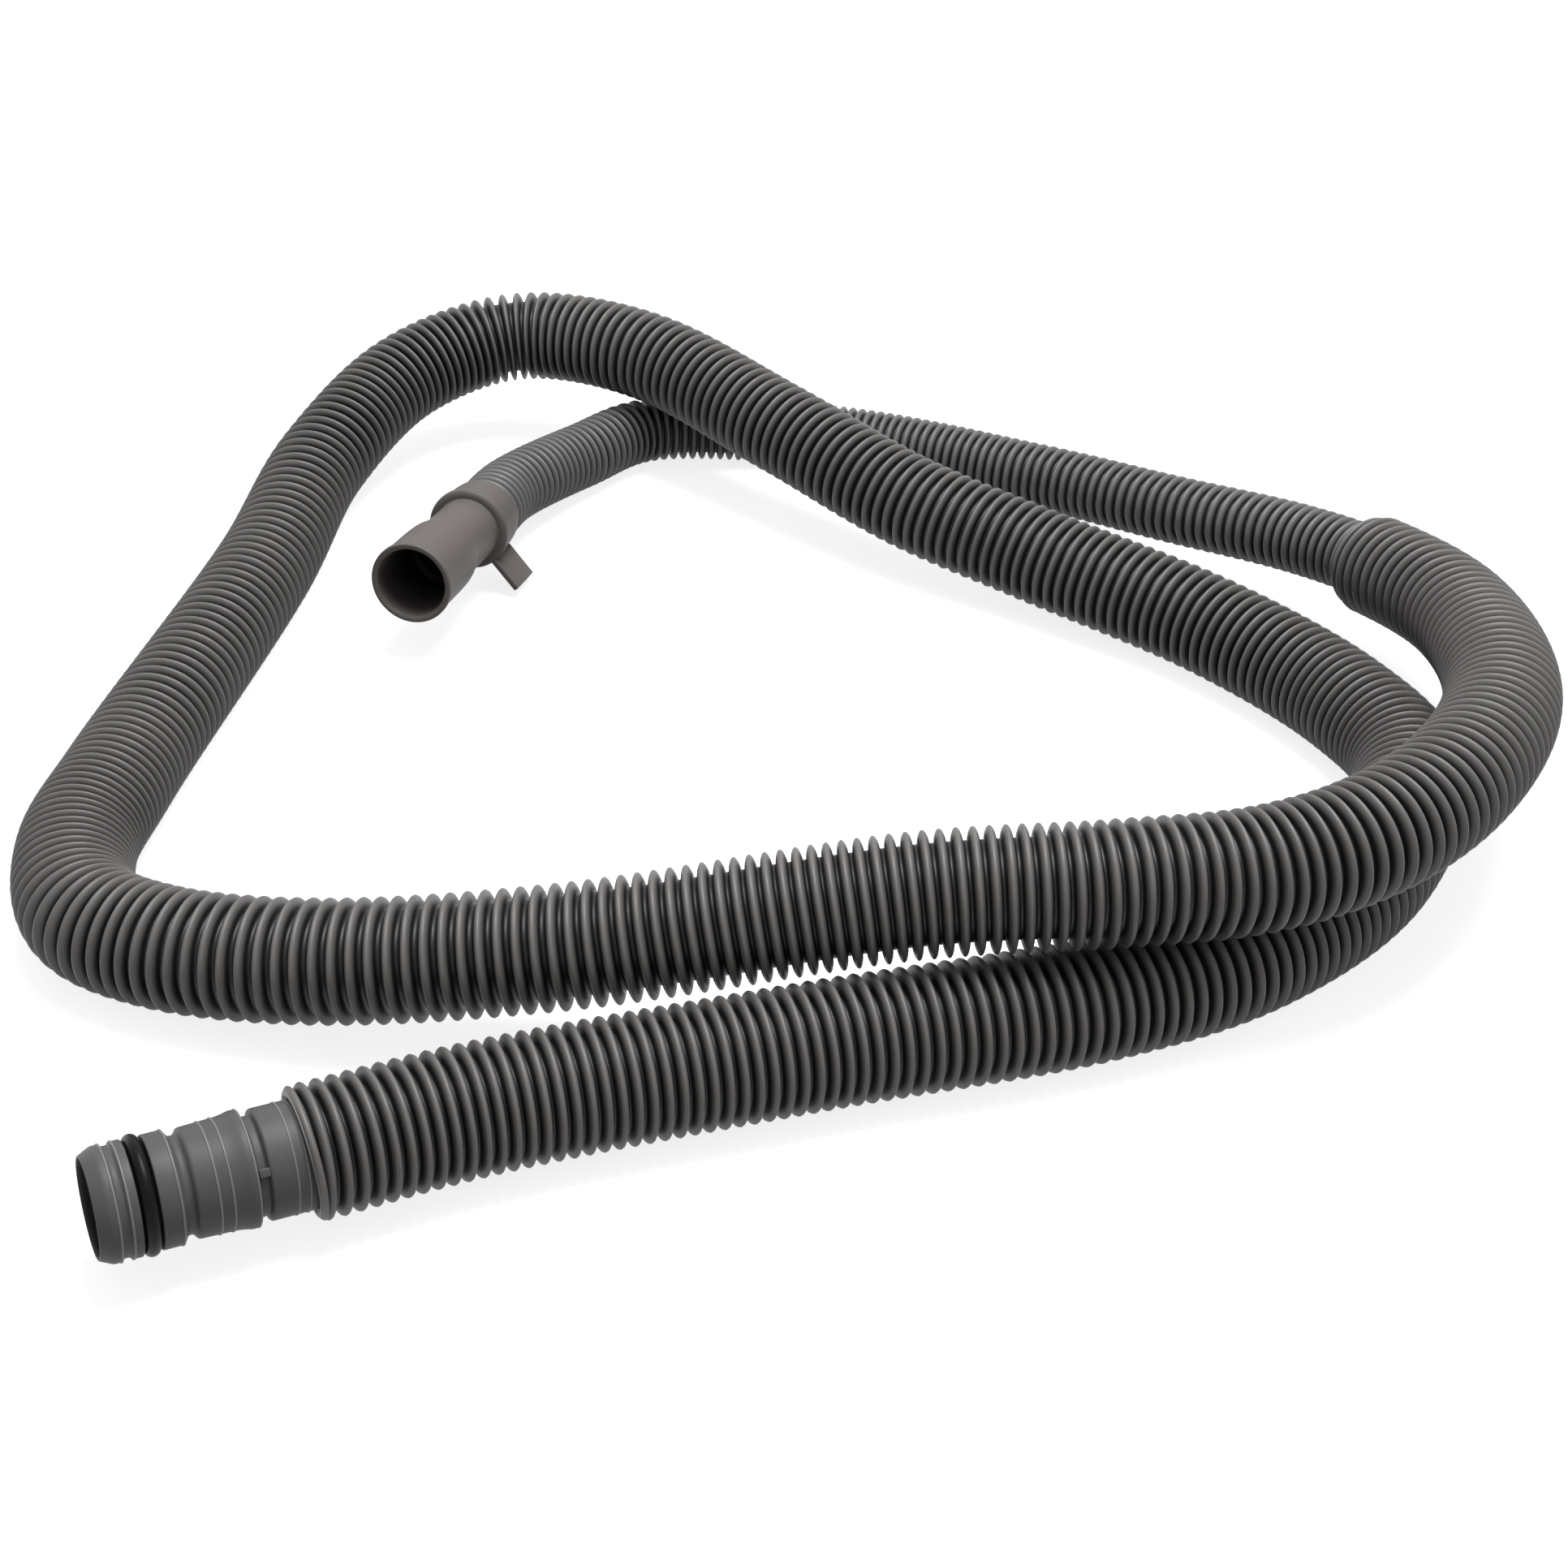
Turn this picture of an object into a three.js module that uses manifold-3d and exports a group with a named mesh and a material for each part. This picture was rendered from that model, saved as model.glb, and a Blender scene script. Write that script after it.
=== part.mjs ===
// Dishwasher drain hose, lying in two loose loops as it comes to rest.
// A corrugated hose steps down in width near its outlet. A rigid spigot with an O-ring
// plugs into the wide end, and a soft cuff with a pull tab is moulded over the narrow end.
// Units are millimetres, +Z is up and the hose lies on the plane z = 0.
import * as THREE from 'three';
import { mergeVertices } from 'three/addons/utils/BufferGeometryUtils.js';
import Module from 'manifold-3d';

const wasm = await Module();
wasm.setup();

// Clearance between pieces that seat in each other
const CLEARANCE = 0.3;

// Hose: outer diameters over the ribs, and the cone between them
const WIDE_DIAMETER = 28;
const NARROW_DIAMETER = 20.4;
const NARROW_LENGTH = 342.6;
const STEP_LENGTH = 6;
const WIDE_SWEEP_STEPS = 62;
const NARROW_SWEEP_STEPS = 16;
const HOSE_SIDES = 12;
// Plain neck at the narrow end, which the cuff is moulded over
const NECK_DIAMETER = 17.6;
const NECK_LENGTH = 11;
const NECK_ROOT = 2;
// Pocket in the wide end beyond the spigot's stem
const POCKET_RELIEF = 2.5;

// Spigot: bore and outer diameters
const SPIGOT_BORE = 15.6;
const SPIGOT_MOUTH_BORE = 19.4;
const SPIGOT_RIM_DIAMETER = 20.3;
const SPIGOT_LIP_DIAMETER = 23;
const SPIGOT_LIP_GROOVE_DIAMETER = 21.8;
const SPIGOT_BAND_DIAMETER = 22.7;
const SPIGOT_CLIP_GROOVE_DIAMETER = 19.6;
const SPIGOT_COLLAR_DIAMETER = 22;
const SPIGOT_COLLAR_END_DIAMETER = 22.5;
const SPIGOT_FLANGE_DIAMETER = 23.5;
const SPIGOT_KEY_GROOVE_DIAMETER = 20;
const SPIGOT_STEM_DIAMETER = 22.6;
// Spigot: lengths along its axis, in order from the mouth, each with the slope that ends it
const MOUTH_FLARE_LENGTH = 5;
const LIP_CHAMFER_LENGTH = 2.7;
const LIP_LENGTH = 1.7;
const LIP_GROOVE_LENGTH = 1.7;
const SEAL_SHOULDER_LENGTH = 2.1;
const SEAL_GROOVE_LENGTH = 3.8;
const BAND_LENGTH = 4.3;
const CLIP_GROOVE_LENGTH = 2.7;
const COLLAR_LENGTH = 5.5;
const FLANGE_CONE_LENGTH = 5.4;
const FLANGE_LENGTH = 1.3;
const KEY_GROOVE_LENGTH = 2.1;
const STEM_SHOWN_LENGTH = 9.3;
const STEM_INSERTED_LENGTH = 12.4;
const SPIGOT_SLOPE = 0.5;
const STEM_LEAD = 1;
// Small key that bridges the rear groove of the spigot, turned from the top to one side
const KEY_WIDTH = 1.6;
const KEY_ROOT = 0.4;
const KEY_ANGLE = 54;

// O-ring
const SEAL_SECTION = 3.1;
const SEAL_OUTER_DIAMETER = 24.1;

// Outlet cuff: diameters, and lengths along its axis from the mouth
const CUFF_SOCKET = 19;
const CUFF_SOCKET_DEPTH = 24;
const CUFF_SOCKET_LEAD = 0.5;
const CUFF_LIP_DIAMETER = 23.1;
const CUFF_LIP_LENGTH = 2.4;
const CUFF_TUBE_DIAMETER = 22;
const CUFF_TUBE_LENGTH = 23.5;
const CUFF_WAIST_DIAMETER = 19;
const CUFF_WAIST_TAPER = 8;
const CUFF_BORE = 15.2;
const CUFF_BORE_TAPER = 1.5;
const CUFF_COLLAR_START = 43.3;
const CUFF_RING_DIAMETER = 23.8;
const CUFF_RING_LENGTH = 3.2;
const CUFF_RING_ROUND = 1.2;
const CUFF_COLLAR_DIAMETER = 22.6;
const CUFF_COLLAR_LENGTH = 14;
const CUFF_TAIL_DIAMETER = 21.6;
const CUFF_EDGE = 0.3;
// Pull tab on the cuff's collar, turned from straight down to one side
const TAB_OFFSET = 0.3;
const TAB_WIDTH = 13.4;
const TAB_REACH = 22.4;
const TAB_THICKNESS = 2;
const TAB_ROOT = 1.2;
const TAB_ANGLE = 43;

// Facets round the turned pieces, the O-ring's section and each rounding
const TURNED_SIDES = 40;
const SECTION_SIDES = 12;
const ROUNDING_STEPS = 4;

// The hose's route from the spigot to the cuff: x, y and the height of its underside
// above the surface that it lies on. It passes under itself, round, over and round again.
const WIDE_ROUTE = [
  [-100.2, -176.9, 2], [-66.1, -160.1, 0.6], [0.2, -137.5, 0.1], [64.5, -117.8, 0.1],
  [101.7, -98.8, 0.1], [135, -66, 0.1], [152.7, -20.8, 0.1], [143.4, 8.5, 0.2],
  [114, 46.9, 0.5], [67.6, 81.2, 3.3], [30.7, 104.7, 7.7], [-8.1, 137.4, 15.1],
  [-51.2, 174.3, 21.4], [-85.8, 190.6, 20.5], [-105.4, 188, 18.4], [-129.3, 168.9, 13.3],
  [-147.9, 127.7, 4.3], [-154.5, 65, 0.6], [-169.7, -44.1, 0.2], [-172, -75.5, 0.1],
  [-163.8, -99.4, 0.2], [-144.7, -110.8, 0.9], [-109.5, -118.3, 3.8], [-54.2, -120, 11.2],
  [22.8, -115.5, 24.7], [64.5, -113.8, 28.2], [98.5, -106.9, 28.6], [124.9, -94.5, 30.4],
  [147.8, -72.6, 31.8], [167.7, -33.5, 29.7], [170.9, 19.6, 22.8], [157.5, 59.5, 15.6],
];
const NARROW_ROUTE = [
  [141.3, 81.5, 15.3], [109, 112.2, 8.3], [72.9, 141.9, 3], [12.6, 171, 0.3],
  [-50, 172.8, 0.4], [-70.9, 150, 1.3], [-89.7, 117.7, 5], [-95.2, 95.9, 7.6],
];

const UP = new THREE.Vector3(0, 0, 1);

// A stretch of the route. Sections stay upright along it, with one corner straight down.
class Stretch extends THREE.Curve {
  constructor(route, from, to) {
    super();
    this.route = route;
    this.from = from;
    this.to = to;
  }

  getPoint(t, target = new THREE.Vector3()) {
    return this.route.getPointAt(THREE.MathUtils.lerp(this.from, this.to, t), target);
  }

  computeFrenetFrames(segments) {
    const tangents = [];
    const normals = [];
    const binormals = [];
    for (let i = 0; i <= segments; i++) {
      const tangent = this.getTangentAt(i / segments);
      const normal = new THREE.Vector3().crossVectors(UP, tangent).normalize();
      tangents.push(tangent);
      normals.push(normal);
      binormals.push(new THREE.Vector3().crossVectors(tangent, normal));
    }
    return { tangents, normals, binormals };
  }
}

function makeRoute() {
  const raised = (points, diameter) => points.map(
    ([x, y, lift]) => new THREE.Vector3(x, y, lift + diameter / 2));
  const points = [...raised(WIDE_ROUTE, WIDE_DIAMETER), ...raised(NARROW_ROUTE, NARROW_DIAMETER)];
  const route = new THREE.CatmullRomCurve3(points, false, 'centripetal');
  route.arcLengthDivisions = 2000;
  return route;
}

function toSolid(geometry) {
  const bare = geometry.clone();
  bare.deleteAttribute('normal');
  bare.deleteAttribute('uv');
  const merged = mergeVertices(bare, 1e-5);
  const mesh = new wasm.Mesh({
    numProp: 3,
    vertProperties: new Float32Array(merged.attributes.position.array),
    triVerts: new Uint32Array(merged.index.array),
  });
  return new wasm.Manifold(mesh);
}

function toGeometry(solid) {
  const { vertProperties, triVerts } = solid.getMesh();
  const geometry = new THREE.BufferGeometry();
  geometry.setAttribute('position', new THREE.BufferAttribute(vertProperties, 3));
  geometry.setIndex(new THREE.BufferAttribute(triVerts, 1));
  geometry.computeVertexNormals();
  return geometry;
}

// Piece turned round its own Y axis, from a closed outline of [diameter, height] pairs
function turned(outline, sides = TURNED_SIDES) {
  const points = [...outline, outline[0]].map(([diameter, y]) => new THREE.Vector2(diameter / 2, y));
  return new THREE.LatheGeometry(points, sides);
}

// Turns a piece's Y axis to the given direction and keeps its Z axis as upright as it can be
function uprightTurn(direction) {
  const side = new THREE.Vector3().crossVectors(direction, UP).normalize();
  const top = new THREE.Vector3().crossVectors(side, direction);
  return new THREE.Quaternion().setFromRotationMatrix(
    new THREE.Matrix4().makeBasis(side, direction, top));
}

function rod(start, direction, length, startDiameter, endDiameter, sides) {
  const geometry = new THREE.CylinderGeometry(endDiameter / 2, startDiameter / 2, length, sides);
  geometry.translate(0, length / 2, 0);
  geometry.applyQuaternion(uprightTurn(direction));
  geometry.translate(start.x, start.y, start.z);
  return geometry;
}

function sweep(stretch, diameter, steps) {
  const corners = Array.from({ length: HOSE_SIDES }, (_, i) => {
    const angle = (i / HOSE_SIDES) * 2 * Math.PI;
    return new THREE.Vector2(Math.sin(angle), -Math.cos(angle)).multiplyScalar(diameter / 2);
  });
  return new THREE.ExtrudeGeometry(new THREE.Shape(corners), { steps, extrudePath: stretch });
}

function hoseGeometry(route) {
  const length = route.getLength();
  const stepAt = 1 - NARROW_LENGTH / length;
  const coneEndAt = stepAt + STEP_LENGTH / length;
  const wide = sweep(new Stretch(route, 0, stepAt), WIDE_DIAMETER, WIDE_SWEEP_STEPS);
  const narrow = sweep(new Stretch(route, stepAt, 1), NARROW_DIAMETER, NARROW_SWEEP_STEPS);

  const coneStart = route.getPointAt(stepAt);
  const coneAxis = route.getPointAt(coneEndAt).sub(coneStart).normalize();
  const cone = rod(coneStart, coneAxis, STEP_LENGTH, WIDE_DIAMETER, NARROW_DIAMETER, HOSE_SIDES);

  const outletAxis = route.getTangentAt(1);
  const neckStart = route.getPointAt(1).addScaledVector(outletAxis, -NECK_ROOT);
  const neck = rod(
    neckStart, outletAxis, NECK_ROOT + NECK_LENGTH, NECK_DIAMETER, NECK_DIAMETER, TURNED_SIDES);

  const inletAxis = route.getTangentAt(0);
  const pocketStart = route.getPointAt(0).addScaledVector(inletAxis, -POCKET_RELIEF);
  const pocketDiameter = SPIGOT_STEM_DIAMETER + 2 * CLEARANCE;
  const pocketLength = POCKET_RELIEF + STEM_INSERTED_LENGTH + POCKET_RELIEF;
  const pocket = rod(
    pocketStart, inletAxis, pocketLength, pocketDiameter, pocketDiameter, TURNED_SIDES);

  const solid = toSolid(wide).add(toSolid(narrow)).add(toSolid(cone)).add(toSolid(neck));
  return toGeometry(solid.subtract(toSolid(pocket)));
}

// Distances from the spigot's mouth to its seal groove, rear groove and the hose's cut end
const SEAL_GROOVE_START = LIP_CHAMFER_LENGTH + LIP_LENGTH + LIP_GROOVE_LENGTH + SEAL_SHOULDER_LENGTH;
const KEY_GROOVE_START = SEAL_GROOVE_START + SEAL_GROOVE_LENGTH + BAND_LENGTH + CLIP_GROOVE_LENGTH
  + COLLAR_LENGTH + FLANGE_CONE_LENGTH + FLANGE_LENGTH;
const SPIGOT_SHOWN_LENGTH = KEY_GROOVE_START + KEY_GROOVE_LENGTH + STEM_SHOWN_LENGTH;
const SEAL_GROOVE_DIAMETER = SEAL_OUTER_DIAMETER - 2 * (SEAL_SECTION + CLEARANCE);

function spigotGeometry() {
  const outline = [[SPIGOT_RIM_DIAMETER, 0]];
  let y = LIP_CHAMFER_LENGTH;
  const ring = (diameter, length, { endDiameter = diameter, slope = SPIGOT_SLOPE } = {}) => {
    outline.push([diameter, y], [endDiameter, y + length - slope]);
    y += length;
  };
  ring(SPIGOT_LIP_DIAMETER, LIP_LENGTH);
  ring(SPIGOT_LIP_GROOVE_DIAMETER, LIP_GROOVE_LENGTH);
  ring(SPIGOT_LIP_DIAMETER, SEAL_SHOULDER_LENGTH, { slope: 0 });
  ring(SEAL_GROOVE_DIAMETER, SEAL_GROOVE_LENGTH, { slope: 0 });
  ring(SPIGOT_BAND_DIAMETER, BAND_LENGTH);
  ring(SPIGOT_CLIP_GROOVE_DIAMETER, CLIP_GROOVE_LENGTH, { slope: 2 * SPIGOT_SLOPE });
  ring(SPIGOT_COLLAR_DIAMETER, COLLAR_LENGTH, { endDiameter: SPIGOT_COLLAR_END_DIAMETER, slope: 0 });
  y += FLANGE_CONE_LENGTH;
  ring(SPIGOT_FLANGE_DIAMETER, FLANGE_LENGTH);
  ring(SPIGOT_KEY_GROOVE_DIAMETER, KEY_GROOVE_LENGTH);
  ring(SPIGOT_STEM_DIAMETER, STEM_SHOWN_LENGTH + STEM_INSERTED_LENGTH, { slope: STEM_LEAD });
  outline.push([SPIGOT_STEM_DIAMETER - STEM_LEAD, y]);
  outline.push([SPIGOT_BORE, y], [SPIGOT_BORE, MOUTH_FLARE_LENGTH], [SPIGOT_MOUTH_BORE, 0]);

  const keyBottom = SPIGOT_KEY_GROOVE_DIAMETER / 2 - KEY_ROOT;
  const keyHeight = SPIGOT_STEM_DIAMETER / 2 - KEY_ROOT - keyBottom;
  const key = new THREE.BoxGeometry(KEY_WIDTH, KEY_GROOVE_LENGTH + SPIGOT_SLOPE, keyHeight);
  key.translate(0, KEY_GROOVE_START + (KEY_GROOVE_LENGTH - SPIGOT_SLOPE) / 2, keyBottom + keyHeight / 2);
  key.rotateY(THREE.MathUtils.degToRad(KEY_ANGLE));
  return toGeometry(toSolid(turned(outline)).add(toSolid(key)));
}

function sealGeometry() {
  const middle = SEAL_GROOVE_START + SEAL_GROOVE_LENGTH / 2;
  const outline = Array.from({ length: SECTION_SIDES }, (_, i) => {
    const angle = (i / SECTION_SIDES) * 2 * Math.PI;
    const diameter = SEAL_OUTER_DIAMETER - SEAL_SECTION * (1 - Math.cos(angle));
    return [diameter, middle + (SEAL_SECTION / 2) * Math.sin(angle)];
  });
  return turned(outline);
}

const CUFF_LENGTH = CUFF_COLLAR_START + CUFF_COLLAR_LENGTH;

function cuffGeometry() {
  const waistStart = CUFF_TUBE_LENGTH;
  const waistTaper = Array.from({ length: ROUNDING_STEPS + 1 }, (_, i) => {
    const t = i / ROUNDING_STEPS;
    const narrowed = (1 - Math.cos(Math.PI * t)) / 2;
    const diameter = THREE.MathUtils.lerp(CUFF_TUBE_DIAMETER, CUFF_WAIST_DIAMETER, narrowed);
    return [diameter, waistStart + CUFF_WAIST_TAPER * t];
  });
  const ringFront = Array.from({ length: ROUNDING_STEPS + 1 }, (_, i) => {
    const angle = (i / ROUNDING_STEPS) * (Math.PI / 2);
    return [
      CUFF_RING_DIAMETER - 2 * CUFF_RING_ROUND * (1 - Math.sin(angle)),
      CUFF_COLLAR_START + CUFF_RING_ROUND * (1 - Math.cos(angle)),
    ];
  });
  const ringEnd = CUFF_COLLAR_START + CUFF_RING_LENGTH;
  const neckSocket = NECK_DIAMETER + 2 * CLEARANCE;
  const neckSocketEnd = CUFF_LENGTH - NECK_LENGTH;
  const outline = [
    [CUFF_LIP_DIAMETER - 2 * CUFF_EDGE, 0],
    [CUFF_LIP_DIAMETER, CUFF_EDGE],
    [CUFF_LIP_DIAMETER, CUFF_LIP_LENGTH - CUFF_EDGE],
    [CUFF_TUBE_DIAMETER, CUFF_LIP_LENGTH + CUFF_EDGE],
    ...waistTaper,
    [CUFF_WAIST_DIAMETER, CUFF_COLLAR_START],
    ...ringFront,
    [CUFF_RING_DIAMETER, ringEnd - CUFF_EDGE],
    [CUFF_COLLAR_DIAMETER, ringEnd + CUFF_EDGE],
    [CUFF_TAIL_DIAMETER, CUFF_LENGTH - CUFF_EDGE],
    [CUFF_TAIL_DIAMETER - 2 * CUFF_EDGE, CUFF_LENGTH],
    [neckSocket, CUFF_LENGTH],
    [neckSocket, neckSocketEnd],
    [CUFF_BORE, neckSocketEnd],
    [CUFF_BORE, CUFF_SOCKET_DEPTH + CUFF_BORE_TAPER],
    [CUFF_SOCKET, CUFF_SOCKET_DEPTH],
    [CUFF_SOCKET, 2 * CUFF_SOCKET_LEAD],
    [CUFF_SOCKET + 2 * CUFF_SOCKET_LEAD, 0],
  ];

  const tabStart = CUFF_COLLAR_DIAMETER / 2 - TAB_ROOT;
  const tabLength = TAB_REACH - tabStart;
  const tab = new THREE.BoxGeometry(TAB_THICKNESS, TAB_WIDTH, tabLength);
  tab.translate(0, CUFF_COLLAR_START + TAB_OFFSET + TAB_WIDTH / 2, -tabStart - tabLength / 2);
  tab.rotateY(-THREE.MathUtils.degToRad(TAB_ANGLE));
  return toGeometry(toSolid(turned(outline)).add(toSolid(tab)));
}

function plastic(color, roughness) {
  return new THREE.MeshStandardMaterial({ color, roughness, metalness: 0 });
}

function piece(name, geometry, material) {
  const mesh = new THREE.Mesh(geometry, material);
  mesh.name = name;
  return mesh;
}

const route = makeRoute();
const hose = piece('drain_hose', hoseGeometry(route), plastic(0x5c5855, 0.45));

// The spigot and its O-ring share the axis of the hose's wide end
const inlet = new THREE.Group();
inlet.quaternion.copy(uprightTurn(route.getTangentAt(0)));
inlet.position.copy(route.getPointAt(0)).addScaledVector(route.getTangentAt(0), -SPIGOT_SHOWN_LENGTH);
inlet.add(piece('spigot', spigotGeometry(), plastic(0x6b6e6d, 0.4)));
inlet.add(piece('o_ring', sealGeometry(), plastic(0x131315, 0.5)));

// The cuff points back along the hose's narrow end, and stops just short of its ribs
const outlet = new THREE.Group();
outlet.quaternion.copy(uprightTurn(route.getTangentAt(1).negate()));
outlet.position.copy(route.getPointAt(1)).addScaledVector(route.getTangentAt(1), CUFF_LENGTH + CLEARANCE);
outlet.add(piece('end_cuff', cuffGeometry(), plastic(0x6a6562, 0.6)));

const drainHose = new THREE.Group();
drainHose.add(hose, inlet, outlet);

export default drainHose;
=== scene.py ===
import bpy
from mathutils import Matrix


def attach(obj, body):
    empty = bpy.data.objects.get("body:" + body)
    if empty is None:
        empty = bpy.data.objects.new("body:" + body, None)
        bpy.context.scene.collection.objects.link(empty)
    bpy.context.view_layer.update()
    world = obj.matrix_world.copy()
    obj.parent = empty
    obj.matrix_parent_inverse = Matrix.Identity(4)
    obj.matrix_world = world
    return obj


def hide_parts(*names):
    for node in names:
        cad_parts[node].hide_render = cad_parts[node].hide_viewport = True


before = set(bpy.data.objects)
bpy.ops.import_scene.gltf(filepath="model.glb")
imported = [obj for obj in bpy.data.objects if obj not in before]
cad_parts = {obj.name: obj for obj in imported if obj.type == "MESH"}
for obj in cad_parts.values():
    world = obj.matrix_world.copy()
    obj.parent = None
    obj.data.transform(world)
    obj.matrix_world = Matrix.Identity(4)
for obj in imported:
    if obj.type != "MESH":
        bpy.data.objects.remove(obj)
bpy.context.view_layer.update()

from math import cos, hypot, pi, radians, sin

import bmesh
import bpy
from mathutils import Matrix, Vector

# Hose: the route's points as x, y and the height of the underside above the floor, in metres
WIDE_DIAMETER = 0.028
NARROW_DIAMETER = 0.0204
NARROW_LENGTH = 0.3426
WIDE_ROUTE = [
    (-0.1002, -0.1769, 0.002), (-0.0661, -0.1601, 0.0006), (0.0002, -0.1375, 0.0001),
    (0.0645, -0.1178, 0.0001), (0.1017, -0.0988, 0.0001), (0.135, -0.066, 0.0001),
    (0.1527, -0.0208, 0.0001), (0.1434, 0.0085, 0.0002), (0.114, 0.0469, 0.0005),
    (0.0676, 0.0812, 0.0033), (0.0307, 0.1047, 0.0077), (-0.0081, 0.1374, 0.0151),
    (-0.0512, 0.1743, 0.0214), (-0.0858, 0.1906, 0.0205), (-0.1054, 0.188, 0.0184),
    (-0.1293, 0.1689, 0.0133), (-0.1479, 0.1277, 0.0043), (-0.1545, 0.065, 0.0006),
    (-0.1697, -0.0441, 0.0002), (-0.172, -0.0755, 0.0001), (-0.1638, -0.0994, 0.0002),
    (-0.1447, -0.1108, 0.0009), (-0.1095, -0.1183, 0.0038), (-0.0542, -0.12, 0.0112),
    (0.0228, -0.1155, 0.0247), (0.0645, -0.1138, 0.0282), (0.0985, -0.1069, 0.0286),
    (0.1249, -0.0945, 0.0304), (0.1478, -0.0726, 0.0318), (0.1677, -0.0335, 0.0297),
    (0.1709, 0.0196, 0.0228), (0.1575, 0.0595, 0.0156),
]
NARROW_ROUTE = [
    (0.1413, 0.0815, 0.0153), (0.109, 0.1122, 0.0083), (0.0729, 0.1419, 0.003),
    (0.0126, 0.171, 0.0003), (-0.05, 0.1728, 0.0004), (-0.0709, 0.15, 0.0013),
    (-0.0897, 0.1177, 0.005), (-0.0952, 0.0959, 0.0076),
]
STATIONS_PER_SPAN = 60


def knots(a, b):
    """Spacing of two route points on a centripetal curve."""
    return (a - b).length ** 0.5


def hose_points():
    """The whole centreline, finely sampled, from the spigot's end to the cuff's."""
    ends = [Vector((x, y, lift + WIDE_DIAMETER / 2)) for x, y, lift in WIDE_ROUTE]
    ends += [Vector((x, y, lift + NARROW_DIAMETER / 2)) for x, y, lift in NARROW_ROUTE]
    ends = [2 * ends[0] - ends[1]] + ends + [2 * ends[-1] - ends[-2]]
    line = []
    for p0, p1, p2, p3 in zip(ends, ends[1:], ends[2:], ends[3:]):
        t0, t1, t2 = knots(p0, p1), knots(p1, p2), knots(p2, p3)
        out = ((p1 - p0) / t0 - (p2 - p0) / (t0 + t1) + (p2 - p1) / t1) * t1
        back = ((p2 - p1) / t1 - (p3 - p1) / (t1 + t2) + (p3 - p2) / t2) * t1
        for i in range(STATIONS_PER_SPAN):
            t = i / STATIONS_PER_SPAN
            line.append(
                p1 + out * t + (3 * (p2 - p1) - 2 * out - back) * t**2
                + (2 * (p1 - p2) + out + back) * t**3
            )
    line.append(ends[-2])
    return line


def lengths_along(line):
    """How far along the line each of its points is."""
    far = [0.0]
    for a, b in zip(line, line[1:]):
        far.append(far[-1] + (b - a).length)
    return far


def points_at(line, far, places):
    """Points of the line at rising distances along it."""
    points = []
    at = 0
    for s in places:
        while at < len(far) - 2 and far[at + 1] < s:
            at += 1
        t = (s - far[at]) / (far[at + 1] - far[at])
        points.append(line[at].lerp(line[at + 1], t))
    return points


# Camera, at the photograph's viewing angle
IMAGE_SIZE = 1932
FOCAL_PIXELS = 2893.4
PRINCIPAL_POINT = (923.5, 912.8)
CAMERA_PLACE = (-0.01483, -0.52272, 0.33799)
CAMERA_PITCH = radians(32.68)
CAMERA_ROLL = radians(1.768)
SENSOR_WIDTH = 36


def add_camera():
    data = bpy.data.cameras.new("camera")
    data.sensor_fit = "HORIZONTAL"
    data.sensor_width = SENSOR_WIDTH
    data.lens = SENSOR_WIDTH * FOCAL_PIXELS / IMAGE_SIZE
    data.shift_x = 0.5 - PRINCIPAL_POINT[0] / IMAGE_SIZE
    data.shift_y = PRINCIPAL_POINT[1] / IMAGE_SIZE - 0.5
    data.clip_start = 0.01
    camera = bpy.data.objects.new("camera", data)
    bpy.context.scene.collection.objects.link(camera)
    turn = Matrix.Rotation(pi / 2 - CAMERA_PITCH, 4, "X") @ Matrix.Rotation(CAMERA_ROLL, 4, "Z")
    camera.matrix_world = Matrix.Translation(CAMERA_PLACE) @ turn
    bpy.context.scene.camera = camera


# Hose ribs: places along the hose and the distance between ribs there, in millimetres. The hose
# stretches and bunches up.
RIB_PITCHES = [
    (0, 3.3), (100, 3.25), (120, 3.4), (150, 3.5), (230, 3.55), (280, 3.5), (330, 3.2),
    (350, 3.1), (372, 3.55), (400, 3.7), (440, 3.45), (466, 3.7), (490, 3.45), (515, 3.7),
    (560, 3.55), (590, 3.85), (605, 3.9), (625, 3.6), (640, 3.65), (652, 4.1), (662, 3.65),
    (674, 3.3), (690, 3.6), (712, 3.4), (732, 4.3), (760, 4.6), (785, 4.25), (806, 3.75),
    (845, 3.95), (864, 3.65), (885, 3.8), (905, 3.05), (925, 2.7), (945, 2.65), (970, 2.9),
    (990, 3.45), (1018, 4.0), (1070, 3.95), (1110, 3.6), (1142, 3.25), (1170, 3.5),
    (1200, 3.4), (1230, 3.6), (1260, 3.6), (1300, 3.55), (1330, 3.7), (1356, 4.0),
    (1380, 3.75), (1394, 4.1), (1410, 4.65), (1428, 4.15), (1440, 3.65), (1444, 3.7),
    (1464, 3.15), (1480, 3.5), (1540, 3.6), (1556, 3.55), (1575, 3.15), (1600, 3.05),
    (1660, 3.0), (1680, 3.2), (1695, 3.95), (1710, 3.25), (1728, 3.0), (1742, 2.75),
    (1752, 3.35), (1790, 3.3),
]
MILLIMETRE = 0.001
# A crest is this wide at its foot, and at most this share of the distance between ribs
CREST_WIDTH = 0.0025
CREST_SHARE = 0.82
CREST_FULLNESS = 1.25
WIDE_ROOT_DIAMETER = 0.022
NARROW_ROOT_DIAMETER = 0.0161
STATIONS_PER_RIB = 12
WIDE_SIDES = 48
NARROW_SIDES = 40
# Ribs at the start of the narrow part over which the width steps down
STEP_RIBS = 1.9
PITCH_STEPS_PER_MILLIMETRE = 4


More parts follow.
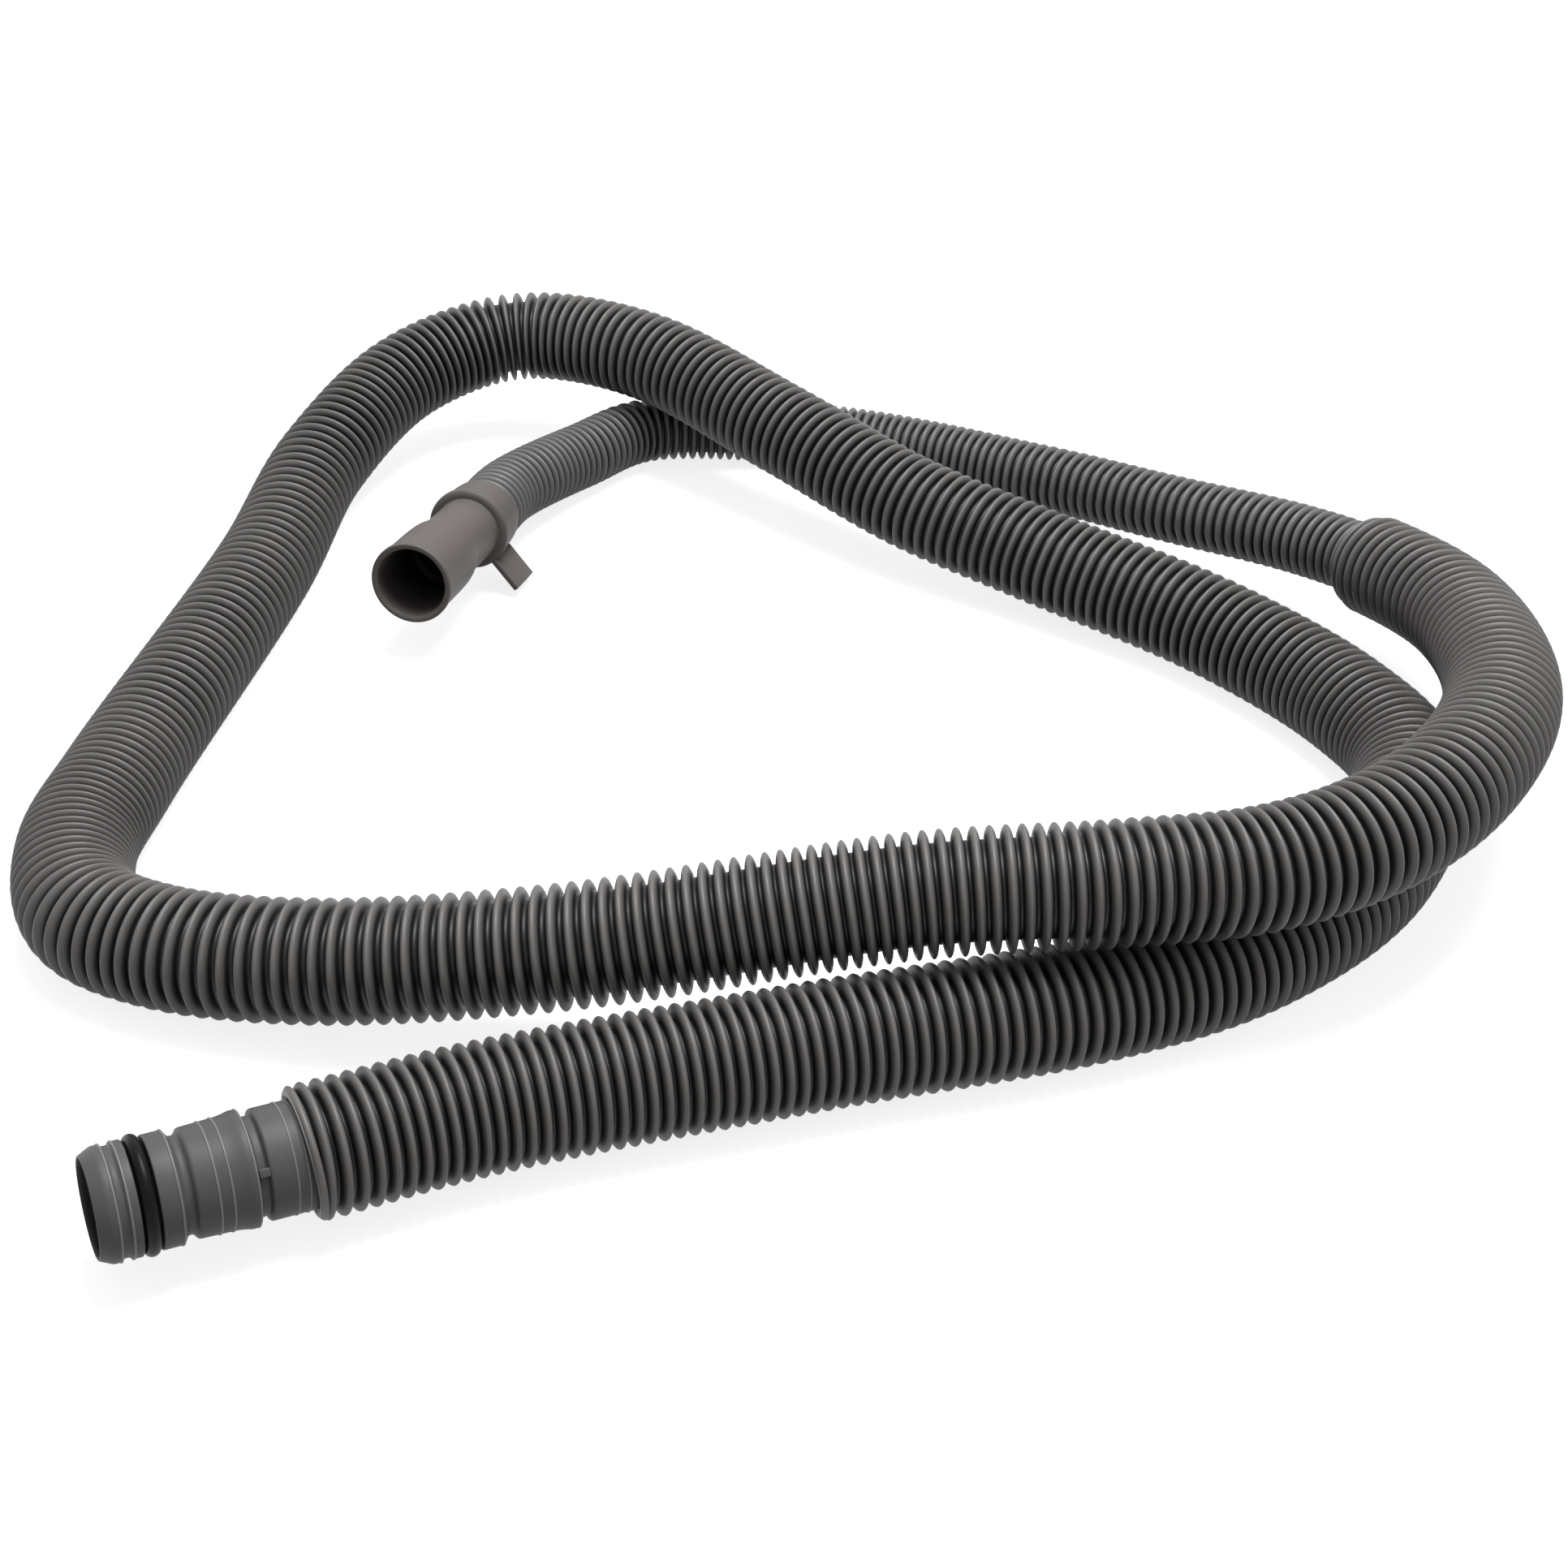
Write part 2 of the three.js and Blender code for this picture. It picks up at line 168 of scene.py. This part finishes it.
def pitch_at(s):
    """Distance between the ribs at a place along the hose, both in metres."""
    s /= MILLIMETRE
    for (s0, p0), (s1, p1) in zip(RIB_PITCHES, RIB_PITCHES[1:]):
        if s <= s1:
            return MILLIMETRE * (p0 + (p1 - p0) * (s - s0) / (s1 - s0))
    return MILLIMETRE * RIB_PITCHES[-1][1]


def rib_roots(start, end):
    """Places of the valleys between the ribs, a whole number of ribs from start to end."""
    passed = [0.0]
    step = MILLIMETRE / PITCH_STEPS_PER_MILLIMETRE
    steps = round((end - start) / step)
    step = (end - start) / steps
    for i in range(steps):
        passed.append(passed[-1] + step / pitch_at(start + (i + 0.5) * step))
    ribs = round(passed[-1])
    roots = []
    at = 0
    for i in range(ribs + 1):
        wanted = passed[-1] * i / ribs
        while at < steps - 1 and passed[at + 1] < wanted:
            at += 1
        share = (wanted - passed[at]) / (passed[at + 1] - passed[at])
        roots.append(start + (at + share) * step)
    return roots


def rib_stations(roots):
    """Places of the sections: close together over each crest, with the valley between."""
    places = []
    last = STATIONS_PER_RIB - 1
    for a, b in zip(roots, roots[1:]):
        pitch = b - a
        crest = min(CREST_WIDTH, CREST_SHARE * pitch)
        edge = (pitch - crest) / 2
        places.append(a)
        for i in range(1, STATIONS_PER_RIB):
            over = (1 - cos(pi * (i - 1) / (last - 1))) / 2
            places.append(a + edge + crest * over)
    places.append(roots[-1])
    return places


def new_socket(tree, name, kind, way="INPUT", default=None):
    socket = tree.interface.new_socket(name, in_out=way, socket_type=kind)
    if default is not None:
        socket.default_value = default
    return socket


class Nodes:
    """Short hand for the nodes and links of one tree."""

    def __init__(self, tree):
        self.tree = tree

    def add(self, kind, inputs=(), **settings):
        node = self.tree.nodes.new(kind)
        for name, value in settings.items():
            setattr(node, name, value)
        for place, value in dict(inputs).items():
            self.set(node.inputs[place], value)
        return node

    def set(self, socket, value):
        if isinstance(value, bpy.types.NodeSocket):
            self.tree.links.new(value, socket)
        else:
            socket.default_value = value

    def math(self, operation, a, b=0.0, c=0.0, clamp=False):
        node = self.tree.nodes.new("ShaderNodeMath")
        node.operation = operation
        node.use_clamp = clamp
        for socket, value in zip(node.inputs, (a, b, c)):
            self.set(socket, value)
        return node.outputs[0]


def corrugation_tree():
    """Sweeps a circle along a curve, with a rib for each group of its points."""
    tree = bpy.data.node_groups.new("corrugated_hose", "GeometryNodeTree")
    new_socket(tree, "Curve", "NodeSocketGeometry")
    new_socket(tree, "Stations per rib", "NodeSocketInt")
    new_socket(tree, "Sides", "NodeSocketInt")
    new_socket(tree, "Crest radius", "NodeSocketFloat")
    new_socket(tree, "Root radius", "NodeSocketFloat")
    new_socket(tree, "Crest fullness", "NodeSocketFloat")
    new_socket(tree, "Step radius", "NodeSocketFloat", default=0.0)
    new_socket(tree, "Step ribs", "NodeSocketFloat", default=1.0)
    new_socket(tree, "Material", "NodeSocketMaterial")
    new_socket(tree, "Geometry", "NodeSocketGeometry", way="OUTPUT")
    n = Nodes(tree)
    given = n.add("NodeGroupInput").outputs
    upright = n.add(
        "GeometryNodeSetCurveNormal", {"Curve": given["Curve"]}, mode="Z_UP").outputs["Curve"]
    ribs_along = n.math(
        "DIVIDE", n.add("GeometryNodeSplineParameter").outputs["Index"], given["Stations per rib"])
    station = n.math("MULTIPLY", n.math("FRACT", ribs_along), given["Stations per rib"])
    over_crest = n.math(
        "DIVIDE", n.math("SUBTRACT", station, 1), n.math("SUBTRACT", given["Stations per rib"], 2),
        clamp=True)
    height = n.math(
        "POWER", n.math("SINE", n.math("MULTIPLY", over_crest, pi), clamp=True),
        given["Crest fullness"])
    radius = n.math(
        "MULTIPLY_ADD", height, n.math("SUBTRACT", given["Crest radius"], given["Root radius"]),
        given["Root radius"])
    stepped = n.math(
        "MULTIPLY",
        n.math("SUBTRACT", 1, n.math("DIVIDE", ribs_along, given["Step ribs"]), clamp=True),
        given["Step radius"])
    captured = n.add("GeometryNodeCaptureAttribute", domain="POINT")
    captured.capture_items.new("FLOAT", "Height")
    n.set(captured.inputs["Geometry"], upright)
    n.set(captured.inputs["Height"], height)
    circle = n.add(
        "GeometryNodeCurvePrimitiveCircle", {"Resolution": given["Sides"], "Radius": 1.0})
    swept = n.add("GeometryNodeCurveToMesh", {
        "Curve": captured.outputs["Geometry"],
        "Profile Curve": circle.outputs["Curve"],
        "Scale": n.math("ADD", radius, stepped),
    }).outputs["Mesh"]
    kept = n.add("GeometryNodeStoreNamedAttribute", {
        "Geometry": swept, "Name": "height", "Value": captured.outputs["Height"],
    }, data_type="FLOAT", domain="POINT").outputs["Geometry"]
    smooth = n.add("GeometryNodeSetShadeSmooth", {"Geometry": kept}).outputs["Geometry"]
    real = n.add("GeometryNodeRealizeInstances", {"Geometry": smooth}).outputs["Geometry"]
    painted = n.add(
        "GeometryNodeSetMaterial", {"Geometry": real, "Material": given["Material"]})
    n.add("NodeGroupOutput", {"Geometry": painted.outputs["Geometry"]})
    return tree


def set_inputs(modifier, values):
    """Sets a modifier's inputs by name, through the identifiers of its sockets."""
    by_name = {
        item.name: item.identifier
        for item in modifier.node_group.interface.items_tree
        if item.item_type == "SOCKET" and item.in_out == "INPUT"
    }
    for name, value in values.items():
        modifier[by_name[name]] = value


def plain_mesh(worked, name):
    """The evaluated result as an object of its own, without the one that it was worked from."""
    graph = bpy.context.evaluated_depsgraph_get()
    mesh = bpy.data.meshes.new_from_object(worked.evaluated_get(graph))
    mesh.name = name
    worked.modifiers.clear()
    bpy.data.objects.remove(worked)
    made = bpy.data.objects.new(name, mesh)
    bpy.context.scene.collection.objects.link(made)
    return made


def corrugated(name, points, tree, inputs):
    """A stretch of ribbed hose along the points, as a plain mesh."""
    data = bpy.data.curves.new(name + "_line", "CURVE")
    data.dimensions = "3D"
    spline = data.splines.new("POLY")
    spline.points.add(len(points) - 1)
    for point, place in zip(spline.points, points):
        point.co = (*place, 1)
    worked = bpy.data.objects.new(name + "_line", data)
    bpy.context.scene.collection.objects.link(worked)
    modifier = worked.modifiers.new("corrugation", "NODES")
    modifier.node_group = tree
    set_inputs(modifier, inputs)
    return plain_mesh(worked, name)


# Materials. One group of nodes makes the surface of all the moulded pieces.
CLOUD_SCALE = 70.0
CLOUD_CONTRAST = 4
GRAIN_STRENGTH = 0.4


def moulded_surface():
    """Cloudy tone, roughness and the height of a fine grain, all at a place on the piece."""
    tree = bpy.data.node_groups.new("moulded_surface", "ShaderNodeTree")
    new_socket(tree, "Place", "NodeSocketVector")
    new_socket(tree, "Grain scale", "NodeSocketFloat")
    new_socket(tree, "Least roughness", "NodeSocketFloat")
    new_socket(tree, "Most roughness", "NodeSocketFloat")
    new_socket(tree, "Cloudiness", "NodeSocketFloat")
    new_socket(tree, "Tone", "NodeSocketFloat", way="OUTPUT")
    new_socket(tree, "Roughness", "NodeSocketFloat", way="OUTPUT")
    new_socket(tree, "Height", "NodeSocketFloat", way="OUTPUT")
    n = Nodes(tree)
    given = n.add("NodeGroupInput").outputs
    cloud = n.add(
        "ShaderNodeTexNoise",
        {"Vector": given["Place"], "Scale": CLOUD_SCALE, "Detail": 3.0}).outputs[0]
    grain = n.add(
        "ShaderNodeTexNoise",
        {"Vector": given["Place"], "Scale": given["Grain scale"], "Detail": 2.0}).outputs[0]
    tone = n.math(
        "MULTIPLY_ADD", n.math("SUBTRACT", cloud, 0.5),
        n.math("MULTIPLY", given["Cloudiness"], CLOUD_CONTRAST), 1)
    mixed = n.math("MULTIPLY_ADD", cloud, 0.5, n.math("MULTIPLY", grain, 0.5))
    rough = n.math(
        "MULTIPLY_ADD", mixed,
        n.math("SUBTRACT", given["Most roughness"], given["Least roughness"]),
        given["Least roughness"])
    n.add("NodeGroupOutput", {"Tone": tone, "Roughness": rough, "Height": grain})
    return tree


def moulded_material(
        name, group, colours, grain, roughness, attribute=None, cloudiness=0.08, specular=0.5):
    """Plastic or rubber. Its colour is one colour, or a ramp of them over an attribute.

    The grain is its scale and its depth, and the roughness is the least and the most of it.
    """
    material = bpy.data.materials.new(name)
    material.use_nodes = True
    n = Nodes(material.node_tree)
    shader = material.node_tree.nodes["Principled BSDF"]
    n.set(shader.inputs["Specular IOR Level"], specular)
    surface = n.add("ShaderNodeGroup", node_tree=group)
    n.set(surface.inputs["Place"], n.add("ShaderNodeTexCoord").outputs["Object"])
    n.set(surface.inputs["Grain scale"], grain[0])
    n.set(surface.inputs["Least roughness"], roughness[0])
    n.set(surface.inputs["Most roughness"], roughness[1])
    n.set(surface.inputs["Cloudiness"], cloudiness)
    if attribute:
        level = n.add("ShaderNodeAttribute", attribute_name=attribute).outputs["Fac"]
        ramp = n.add("ShaderNodeValToRGB", {"Fac": level})
        stops = ramp.color_ramp.elements
        for i in range(len(colours) - 2):
            stops.new((i + 1) / (len(colours) - 1))
        for stop, (place, colour) in zip(stops, colours):
            stop.position = place
            stop.color = (*colour, 1)
        base = ramp.outputs["Color"]
    else:
        base = n.add("ShaderNodeRGB")
        base.outputs[0].default_value = (*colours, 1)
        base = base.outputs[0]
    shade = n.add("ShaderNodeVectorMath", {0: base}, operation="SCALE")
    n.set(shade.inputs["Scale"], surface.outputs["Tone"])
    n.set(shader.inputs["Base Color"], shade.outputs["Vector"])
    n.set(shader.inputs["Roughness"], surface.outputs["Roughness"])
    bump = n.add("ShaderNodeBump", {"Distance": grain[1], "Strength": GRAIN_STRENGTH})
    n.set(bump.inputs["Height"], surface.outputs["Height"])
    n.set(shader.inputs["Normal"], bump.outputs["Normal"])
    return material


add_camera()
centreline = hose_points()
far_along = lengths_along(centreline)
hose_length = far_along[-1]
step_at = hose_length - NARROW_LENGTH
tree = corrugation_tree()
surface_group = moulded_surface()
# Hose colours ramp over rib height; the dark valley colours are painted shade.
hose_plastic = moulded_material(
    "hose_plastic", surface_group,
    [(0.0, (0.004, 0.0038, 0.0036)), (0.37, (0.017, 0.0161, 0.0154)),
     (0.67, (0.092, 0.088, 0.0845)), (1.0, (0.12, 0.115, 0.1105))],
    (2600.0, 0.00002), (0.4, 0.52), attribute="height", specular=0.38)
narrow_plastic = moulded_material(
    "narrow_hose_plastic", surface_group,
    [(0.0, (0.006, 0.0062, 0.0062)), (0.35, (0.02, 0.0205, 0.0204)),
     (0.65, (0.088, 0.09, 0.0887)), (1.0, (0.116, 0.119, 0.117))],
    (2600.0, 0.00002), (0.4, 0.52), attribute="height", specular=0.38)

WIDE_SIZES = {
    "Stations per rib": STATIONS_PER_RIB, "Sides": WIDE_SIDES, "Crest radius": WIDE_DIAMETER / 2,
    "Root radius": WIDE_ROOT_DIAMETER / 2, "Crest fullness": CREST_FULLNESS,
    "Material": hose_plastic}
NARROW_SIZES = {
    "Stations per rib": STATIONS_PER_RIB, "Sides": NARROW_SIDES, "Crest radius": NARROW_DIAMETER / 2,
    "Root radius": NARROW_ROOT_DIAMETER / 2, "Crest fullness": CREST_FULLNESS,
    "Step radius": (WIDE_DIAMETER - NARROW_DIAMETER) / 2, "Step ribs": STEP_RIBS,
    "Material": narrow_plastic}
wide_roots = rib_roots(0.0, step_at)
narrow_roots = rib_roots(step_at, hose_length)
third = len(wide_roots) // 3
hose_pieces = (
    ("hose_front", wide_roots[:third + 1], WIDE_SIZES),
    ("hose_back", wide_roots[third:2 * third + 1], WIDE_SIZES),
    ("hose_top", wide_roots[2 * third:], WIDE_SIZES),
    ("hose_narrow", narrow_roots, NARROW_SIZES),
)
for name, roots, sizes in hose_pieces:
    points = points_at(centreline, far_along, rib_stations(roots))
    hose = corrugated(name, points, tree, sizes)
    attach(hose, "root")
    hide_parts("drain_hose")


def upright_frame(origin, direction):
    """Places a piece whose Y axis points the given way, with its Z axis as upright as it can be."""
    side = direction.cross(Vector((0, 0, 1))).normalized()
    top = side.cross(direction)
    turn = Matrix((side, direction, top)).transposed().to_4x4()
    return Matrix.Translation(origin) @ turn


def rounded(outline, steps=4):
    """Closed outline of (diameter, y, corner) in millimetres, with its corners cut round."""
    points = []
    count = len(outline)
    for i, (diameter, y, corner) in enumerate(outline):
        here = Vector((diameter / 2, y))
        before = Vector((outline[i - 1][0] / 2, outline[i - 1][1])) - here
        after = Vector((outline[(i + 1) % count][0] / 2, outline[(i + 1) % count][1])) - here
        cut = min(corner, 0.48 * before.length, 0.48 * after.length)
        if cut <= 0:
            points.append(here)
            continue
        a = here + before.normalized() * cut
        b = here + after.normalized() * cut
        for k in range(steps + 1):
            t = k / steps
            points.append(a * (1 - t) ** 2 + here * 2 * t * (1 - t) + b * t**2)
    return [(MILLIMETRE * p.x, MILLIMETRE * p.y) for p in points]


def turned(outline, sides):
    """Solid of a closed outline of (radius, y), turned round the Y axis."""
    shape = bmesh.new()
    rings = []
    for radius, y in outline:
        ring = []
        for i in range(sides):
            angle = 2 * pi * i / sides
            ring.append(shape.verts.new((radius * sin(angle), y, radius * cos(angle))))
        rings.append(ring)
    for ring, other in zip(rings, rings[1:] + rings[:1]):
        for i in range(sides):
            j = (i + 1) % sides
            shape.faces.new((ring[i], ring[j], other[j], other[i]))
    bmesh.ops.recalc_face_normals(shape, faces=shape.faces)
    return shape


def shade_bore(shape, start, reach):
    """Marks the bore wall's painted shade, from 1 where light comes in to 0 further along."""
    light = shape.verts.layers.float.new("light")
    shape.normal_update()
    for vert in shape.verts:
        x, y, z = vert.co
        inside = vert.normal.x * x + vert.normal.z * z < -0.2 * hypot(x, z)
        depth = (y / MILLIMETRE - start) / reach
        vert[light] = min(1, max(0, 1 - depth)) if inside else 1


def finish_piece(shape, name, place, material, node, sharp=35):
    """Makes a shape a finished piece on the body, at its place, for a node of the CAD model."""
    mesh = bpy.data.meshes.new(name)
    shape.transform(place)
    shape.to_mesh(mesh)
    shape.free()
    mesh.shade_smooth()
    mesh.set_sharp_from_angle(angle=radians(sharp))
    mesh.materials.append(material)
    piece = bpy.data.objects.new(name, mesh)
    bpy.context.scene.collection.objects.link(piece)
    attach(piece, "root")
    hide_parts(node)
    return piece


def add_box(shape, size, place, bevel):
    """Box with bevelled edges, in millimetres, joined into a shape with a shaded bore."""
    made = bmesh.ops.create_cube(shape, size=1)
    bmesh.ops.transform(shape, verts=made["verts"], matrix=Matrix.Diagonal((*size, 1)))
    edges = {edge for vert in made["verts"] for edge in vert.link_edges}
    cut = bmesh.ops.bevel(
        shape, geom=list(edges), offset=bevel, segments=3, profile=0.5, affect="EDGES")
    verts = {vert for face in cut["faces"] for vert in face.verts}
    verts |= {vert for vert in made["verts"] if vert.is_valid}
    bmesh.ops.transform(
        shape, verts=list(verts), matrix=Matrix.Scale(MILLIMETRE, 4) @ place)
    light = shape.verts.layers.float["light"]
    for vert in verts:
        vert[light] = 1


def ring_outline(diameter, y, width, height, count):
    """Outline of a ring of oval section, sizes in millimetres."""
    return [
        (MILLIMETRE * (diameter + height * cos(2 * pi * i / count)) / 2,
         MILLIMETRE * (y + width / 2 * sin(2 * pi * i / count))) for i in range(count)]


# Spigot, from its mouth: sizes in millimetres
SPIGOT_SHOWN_LENGTH = 42.6
SPIGOT_STEM_END = 55
TURNED_SIDES = 144
SPIGOT_OUTLINE = [
    (20.4, 0, 0.25), (23, 2.6, 0.5), (23, 4.1, 0.4), (21.9, 4.6, 0.3), (21.9, 5.7, 0.3),
    (23, 6.2, 0.4), (23, 8.2, 0.25), (17.3, 8.2, 0.3), (17.3, 12, 0.3), (22.7, 12, 0.3),
    (22.7, 16.1, 0.5), (19.6, 17.1, 0.5), (19.6, 18.3, 0.5), (22, 19.1, 0.5),
    (22.6, 27.3, 1.2), (23.7, 29.6, 0.8), (23.5, 30.7, 0.4), (20.2, 31.3, 0.3),
    (20, 32.8, 0.3), (22.5, 33.4, 0.4), (22.5, 43, 0.3), (21, 44, 0.3),
    (21, SPIGOT_STEM_END, 0.3), (15.6, SPIGOT_STEM_END, 0.3), (15.6, 9.5, 0.6),
    (16.8, 9, 0.6), (16.8, 4.4, 0.6), (19.2, 3.8, 0.5), (19.4, 1, 0.2), (19.7, 0, 0.1),
]
# Where the painted shade in the bore starts and over how far it darkens
SPIGOT_BORE_LIGHT = (0, 0.25)
# Diameter and place of each fine line round the spigot, coloured light as a painted highlight
SPIGOT_LINES = [
    (22.9, 4), (22.9, 6.4), (22.6, 15.9), (22.2, 23.1), (22.4, 25.7), (23.3, 30.6),
    (22.4, 38.3), (22.4, 40.6)]
LINE_WIDTH = 0.5
LINE_HEIGHT = 0.5
KEY_SIZE = (1.7, 2.2, 2.4)
KEY_ANGLE = 57
KEY_PLACE = (0, 32.2, 10)
KEY_BEVEL = 0.2
SEAL_MIDDLE = 10.1
SEAL_RING_DIAMETER = 21
SEAL_SECTION = 3.1

inlet_axis = (centreline[1] - centreline[0]).normalized()
inlet = upright_frame(centreline[0] - inlet_axis * SPIGOT_SHOWN_LENGTH * MILLIMETRE, inlet_axis)
# The spigot's colour ramps over the light mark; its dark end is painted shade in the bore.
spigot_plastic = moulded_material(
    "spigot_plastic", surface_group,
    [(0.0, (0.002, 0.002, 0.002)), (1.0, (0.075, 0.077, 0.076))],
    (3200.0, 0.000015), (0.42, 0.56), attribute="light", cloudiness=0.05, specular=0.22)
# The fine lines' lighter colour is a painted highlight.
edge_highlight_plastic = moulded_material(
    "spigot_edge_highlight", surface_group, (0.15, 0.154, 0.15), (3200.0, 0.00001), (0.4, 0.5))
spigot_shape = turned(rounded(SPIGOT_OUTLINE), TURNED_SIDES)
key_turn = Matrix.Rotation(radians(KEY_ANGLE), 4, "Y") @ Matrix.Translation(KEY_PLACE)
shade_bore(spigot_shape, *SPIGOT_BORE_LIGHT)
add_box(spigot_shape, KEY_SIZE, key_turn, KEY_BEVEL)
spigot = finish_piece(spigot_shape, "turned_spigot", inlet, spigot_plastic, "spigot")
for i, (diameter, y) in enumerate(SPIGOT_LINES):
    line_shape = turned(ring_outline(diameter, y, LINE_WIDTH, LINE_HEIGHT, 10), TURNED_SIDES)
    edge_line = finish_piece(line_shape, f"spigot_line_{i}", inlet, edge_highlight_plastic, "spigot", 80)

seal_rubber = moulded_material(
    "seal_rubber", surface_group, (0.0035, 0.0035, 0.004), (2200.0, 0.00001), (0.32, 0.45),
    specular=0.12)
seal_shape = turned(
    ring_outline(SEAL_RING_DIAMETER, SEAL_MIDDLE, SEAL_SECTION, SEAL_SECTION, 24), TURNED_SIDES)
seal = finish_piece(seal_shape, "seal_ring", inlet, seal_rubber, "o_ring", sharp=80)

# The hose's cut end: half a rib askew in front of the first one, with a painted highlight edge
CUT_PLACE = (0, SPIGOT_SHOWN_LENGTH * MILLIMETRE, 0)
CUT_TURN = radians(5)
cut_place = inlet @ Matrix.Translation(CUT_PLACE) @ Matrix.Rotation(CUT_TURN, 4, "X")
# Name, then diameter, place, width and height in millimetres, then colour
CUT_RINGS = (
    ("hose_cut_rib", (25, 0.1, 1.7, 2.6), (0.115, 0.109, 0.104)),
    ("hose_cut_edge_highlight", (25, -0.75, 0.45, 1.1), (0.2, 0.19, 0.18)),
)
for name, sizes, colour in CUT_RINGS:
    plastic = moulded_material(
        name + "_plastic", surface_group, colour, (2600.0, 0.00002), (0.4, 0.55))
    ring = finish_piece(
        turned(ring_outline(*sizes, 16), TURNED_SIDES), name, cut_place, plastic, "drain_hose", 80)


# Outlet cuff, from its mouth: sizes in millimetres
CUFF_LENGTH = 57.3
CUFF_GAP = 0.3
CUFF_OUTLINE = [
    (22.6, 0, 0.3), (23.1, 0.4, 0.3), (23.1, 2, 0.4), (22.3, 2.7, 0.5), (22.1, 17, 5),
    (21.6, 22, 2), (19.6, 26.5, 3), (18.9, 32, 3), (18.9, 43.5, 0.3), (21.6, 43.5, 0.7),
    (23.9, 44.1, 0.9), (23.9, 46.4, 0.8), (22.6, 47.3, 0.5), (22.5, 53.4, 2), (21.7, 56.9, 0.6),
    (20.6, 57.3, 0.2), (18.2, 57.3, 0.2), (18.2, 46.5, 0.2), (15.2, 46.5, 0.2),
    (15.2, 25.5, 0.5), (18.8, 24, 0.5), (19.1, 4, 1), (19.6, 0.6, 0.3), (21, 0.05, 0.2),
]
# Where the painted shade in the cuff's bore starts and over how far it darkens
CUFF_BORE_LIGHT = (1, 9)
TAB_ANGLE = 43
TAB_SIZE = (1.7, 13.2, 13.2)
TAB_MIDDLE = (0, 50.4, -15.75)
TAB_BEVEL = 0.35

outlet_axis = (centreline[-2] - centreline[-1]).normalized()
outlet = upright_frame(
    centreline[-1] - outlet_axis * (CUFF_LENGTH + CUFF_GAP) * MILLIMETRE, outlet_axis)
# The cuff's colour ramps over the light mark; its dark end is painted shade in the bore.
cuff_rubber = moulded_material(
    "cuff_rubber", surface_group,
    [(0.0, (0.01, 0.009, 0.0085)), (1.0, (0.104, 0.0925, 0.0875))],
    (2400.0, 0.00003), (0.45, 0.62), attribute="light", cloudiness=0.06, specular=0.25)
cuff_shape = turned(rounded(CUFF_OUTLINE), TURNED_SIDES)
tab_turn = Matrix.Rotation(-radians(TAB_ANGLE), 4, "Y") @ Matrix.Translation(TAB_MIDDLE)
shade_bore(cuff_shape, *CUFF_BORE_LIGHT)
add_box(cuff_shape, TAB_SIZE, tab_turn, TAB_BEVEL)
cuff = finish_piece(cuff_shape, "soft_cuff", outlet, cuff_rubber, "end_cuff")


# Floor and light. The camera and the reflections see a white sky and a white floor with a faint
# shadow. For all other rays the floor is dark, and the sky is brighter above than at the side.
FLOOR_REACH = 4.0
FLOOR_GLOW = 0.82
FLOOR_SHADOW = 0.4
FLOOR_BOUNCE = 0.16
KEY_LIGHT_PLACE = (0.12, 0.1, 1.1)
KEY_LIGHT_AIM = (0, 0.02, 0)
KEY_LIGHT_SIZE = (0.6, 0.45)
KEY_LIGHT_POWER = 16.5
SKY_AT_HORIZON = 0.15
SKY_RISE = 0.6


def seen_rays(n):
    """1 for the camera's rays and for those that it sees in shiny and clear pieces."""
    rays = n.add("ShaderNodeLightPath").outputs
    seen = n.math("MAXIMUM", rays["Is Camera Ray"], rays["Is Glossy Ray"])
    return n.math("MAXIMUM", seen, rays["Is Transmission Ray"])


def add_floor():
    data = bpy.data.meshes.new("floor")
    corners = ((-1, -1), (1, -1), (1, 1), (-1, 1))
    data.from_pydata(
        [(x * FLOOR_REACH, y * FLOOR_REACH, 0) for x, y in corners], [], [(0, 1, 2, 3)])
    floor = bpy.data.objects.new("floor", data)
    bpy.context.scene.collection.objects.link(floor)
    material = bpy.data.materials.new("floor")
    material.use_nodes = True
    n = Nodes(material.node_tree)
    glow = n.add("ShaderNodeEmission", {"Strength": FLOOR_GLOW})
    pale = n.add("ShaderNodeBsdfDiffuse", {"Color": (*[FLOOR_SHADOW] * 3, 1)})
    seen = n.add("ShaderNodeAddShader", {0: glow.outputs[0], 1: pale.outputs[0]})
    unseen = n.add("ShaderNodeBsdfDiffuse", {"Color": (*[FLOOR_BOUNCE] * 3, 1)})
    mixed = n.add(
        "ShaderNodeMixShader", {0: seen_rays(n), 1: unseen.outputs[0], 2: seen.outputs[0]})
    output = material.node_tree.nodes["Material Output"]
    n.set(output.inputs["Surface"], mixed.outputs[0])
    data.materials.append(material)


def add_light(name, place, aim, size, power):
    data = bpy.data.lights.new(name, "AREA")
    data.shape = "RECTANGLE"
    data.size = size[0]
    data.size_y = size[1]
    data.energy = power
    lamp = bpy.data.objects.new(name, data)
    lamp.matrix_world = Matrix.Translation(place) @ (
        Vector(aim) - Vector(place)).to_track_quat("-Z", "Y").to_matrix().to_4x4()
    bpy.context.scene.collection.objects.link(lamp)


add_floor()
add_light("key", KEY_LIGHT_PLACE, KEY_LIGHT_AIM, KEY_LIGHT_SIZE, KEY_LIGHT_POWER)
world = bpy.data.worlds.new("studio")
world.use_nodes = True
n = Nodes(world.node_tree)
height = n.add("ShaderNodeSeparateXYZ", {0: n.add("ShaderNodeTexCoord").outputs["Generated"]})
background = world.node_tree.nodes["Background"]
background.inputs["Color"].default_value = (1, 1, 1, 1)
skylight = n.math("MULTIPLY_ADD", height.outputs["Z"], SKY_RISE, SKY_AT_HORIZON)
n.set(background.inputs["Strength"], n.math("MAXIMUM", seen_rays(n), skylight))
bpy.context.scene.world = world
bpy.context.scene.view_settings.view_transform = "Standard"
